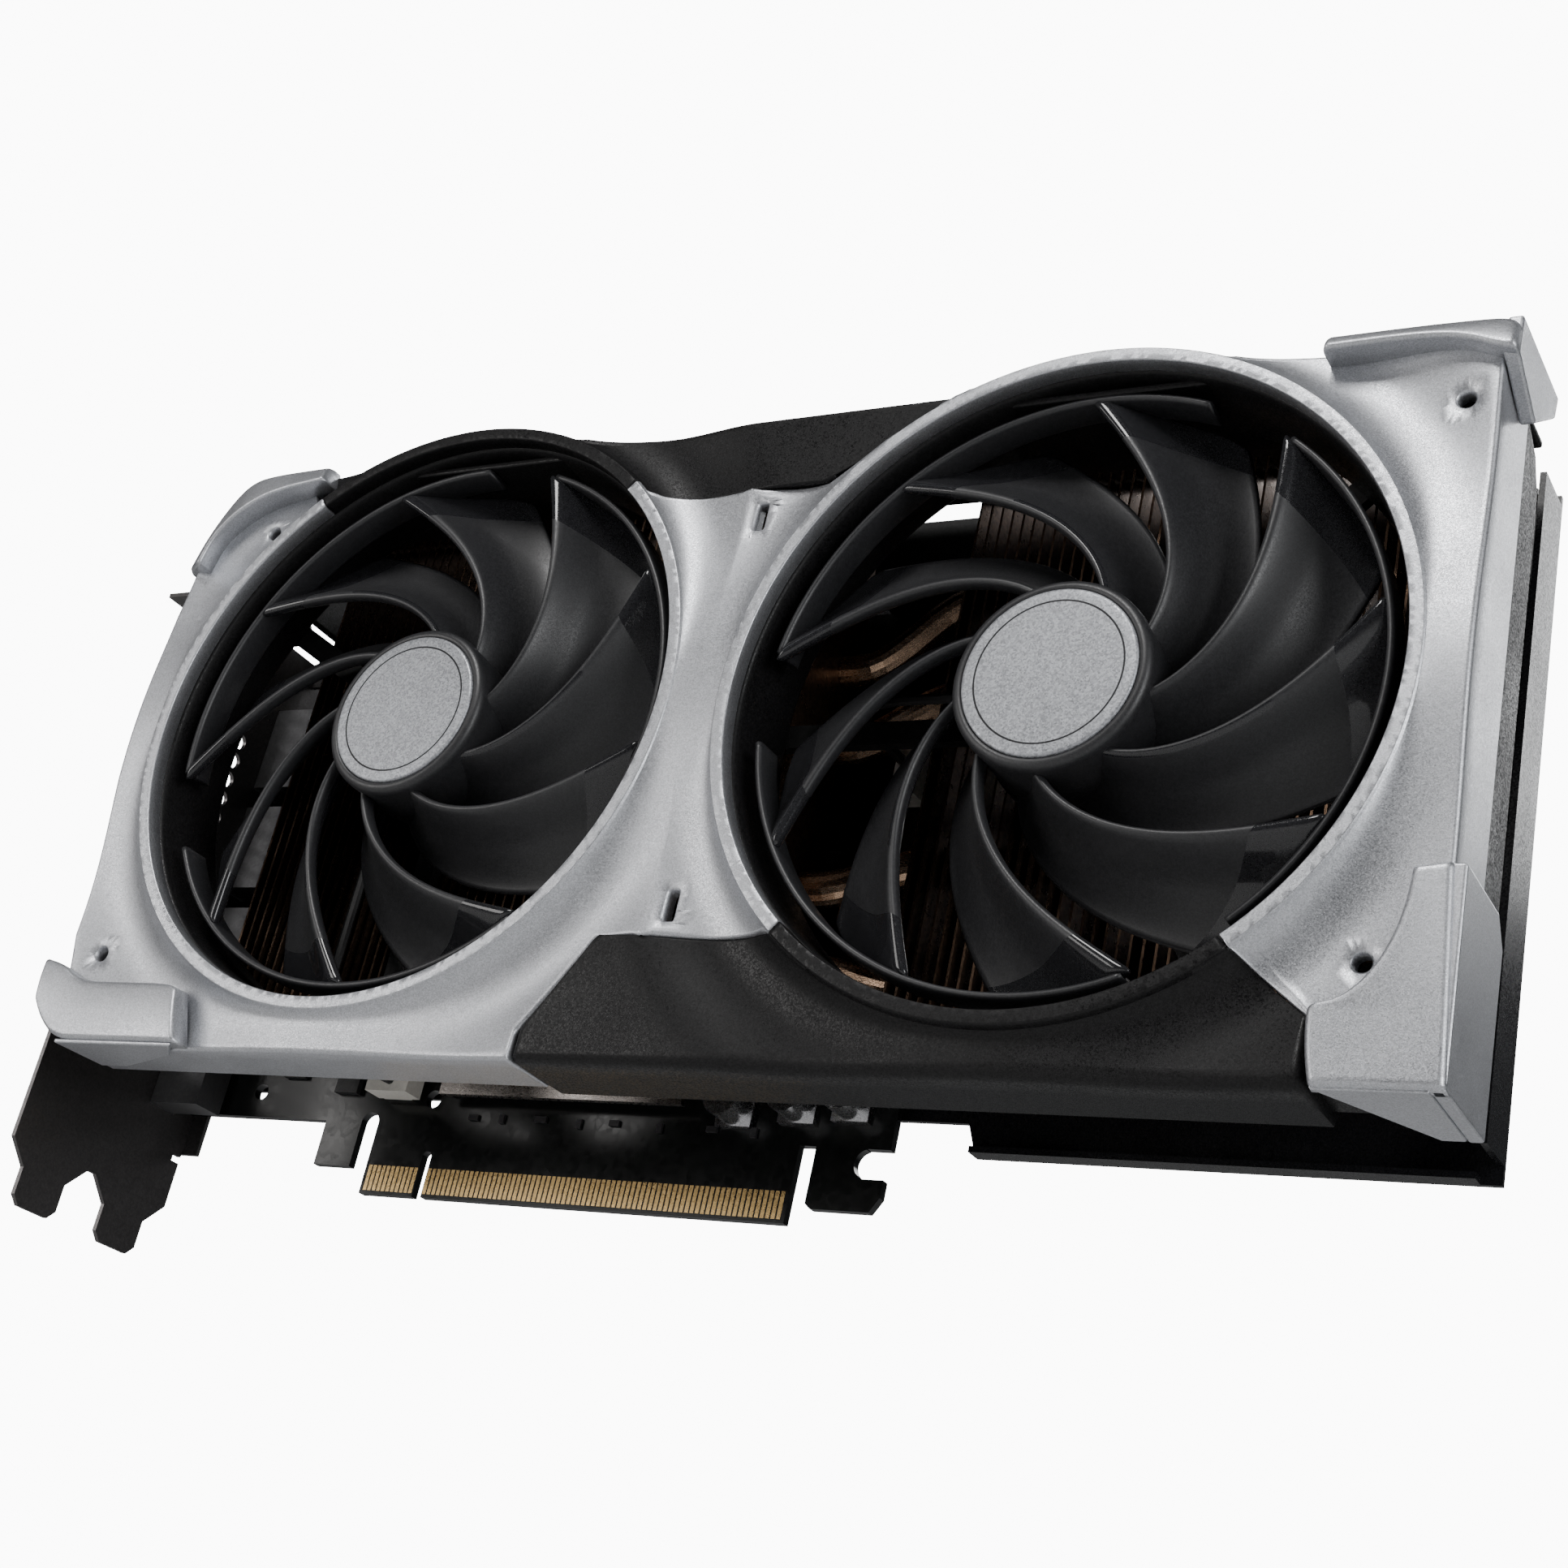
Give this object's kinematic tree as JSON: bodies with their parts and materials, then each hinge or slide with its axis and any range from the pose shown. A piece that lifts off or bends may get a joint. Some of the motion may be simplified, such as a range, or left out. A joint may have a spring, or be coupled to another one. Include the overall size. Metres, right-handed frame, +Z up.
{
  "type": "graphics card",
  "caption": "Dual-fan graphics card with a two-slot bracket, board, finned heat-pipe cooler, moulded shroud and vented backplate; both fans turn.",
  "frame": {"origin": "centre of the key notch in the board's mid plane, at the lower edge of the contact fingers", "axes": "+X along the card from the bracket to the free end, -Y the fan side, +Z up, away from the contact edge"},
  "size_m": [0.2589, 0.0515, 0.1406],
  "materials": {
    "silver_paint": "fine metallic silver paint on moulded plastic, satin",
    "black_shroud": "fine-textured black plastic",
    "fan_black": "satin black plastic with polished patches at the tips and roots",
    "badge_silver": "fine-grained silver disc with a printed ring",
    "bracket_steel": "dark grey satin plating on folded steel",
    "board_mask": "black solder mask, slightly glossy",
    "gold_contact": "hard gold plating",
    "socket_shell": "bright drawn steel shell",
    "black_moulding": "black moulded plastic",
    "white_moulding": "off-white moulded plastic",
    "chip_substrate": "dark green laminate",
    "silicon": "polished silicon",
    "chip_resin": "black moulding compound",
    "inductor_grey": "pressed powder, grey",
    "capacitor_can": "drawn aluminium can",
    "thermal_pad": "soft grey silicone pad",
    "plate_metal": "milled, nickel-plated",
    "dark_fin": "thin sheet, dark finish",
    "pipe_nickel": "nickel-plated copper with a bronze sheen",
    "magnet": "bonded ferrite strip",
    "shaft_steel": "ground steel",
    "brass_spacer": "turned brass",
    "winding_copper": "enamelled copper winding",
    "lead_sleeve": "black sleeving",
    "black_screw": "black oxide steel",
    "bright_screw": "zinc-plated steel",
    "backplate_black": "black satin coating on folded aluminium",
    "spring_steel": "spring steel"
  },
  "bodies": {
    "card": {"shroud_base": "black_shroud", "shroud_cover": "silver_paint", "corner_cap_top_left": "silver_paint", "corner_cap_top_right": "silver_paint", "corner_cap_bottom_left": "silver_paint", "corner_cap_bottom_right": "silver_paint", "shroud_screws": "black_screw", "circuit_board": "board_mask", "edge_contacts": "gold_contact", "slot_bracket": "bracket_steel", "bracket_screws": "bright_screw", "hdmi_socket": "socket_shell", "displayport_sockets": "socket_shell", "socket_tongues": "black_moulding", "power_socket": "black_moulding", "power_pins": "gold_contact", "gpu_package": "chip_substrate", "gpu_die": "silicon", "memory_chips": "chip_resin", "power_stages": "chip_resin", "inductors": "inductor_grey", "capacitors": "capacitor_can", "control_chips": "chip_resin", "thermal_pads": "thermal_pad", "cold_plate": "plate_metal", "vrm_plate": "dark_fin", "heat_pipes": "pipe_nickel", "fin_stack_main": "dark_fin", "fin_stack_tail": "dark_fin", "fan_headers": "white_moulding", "fan_screws": "black_screw", "backplate": "backplate_black", "backplate_screws": "black_screw", "backplate_spacers": "brass_spacer", "retention_bracket": "spring_steel", "retention_screws": "bright_screw", "fan_left_bearing": "brass_spacer", "fan_left_stator": "winding_copper", "fan_left_frame": "black_moulding", "fan_left_lead": "lead_sleeve", "fan_right_bearing": "brass_spacer", "fan_right_stator": "winding_copper", "fan_right_frame": "black_moulding", "fan_right_lead": "lead_sleeve"},
    "fan_left": {"fan_left_rotor": "fan_black", "fan_left_badge": "badge_silver", "fan_left_magnet": "magnet", "fan_left_shaft": "shaft_steel"},
    "fan_right": {"fan_right_rotor": "fan_black", "fan_right_badge": "badge_silver", "fan_right_magnet": "magnet", "fan_right_shaft": "shaft_steel"}
  },
  "joints": [
    {"name": "fan_left_spin", "type": "hinge", "parent": "card", "child": "fan_left", "pos_m": [0.0044, -0.0348, 0.0713], "axis": [0, 1, 0], "continuous": true},
    {"name": "fan_right_spin", "type": "hinge", "parent": "card", "child": "fan_right", "pos_m": [0.1228, -0.0348, 0.0713], "axis": [0, 1, 0], "continuous": true}
  ]
}
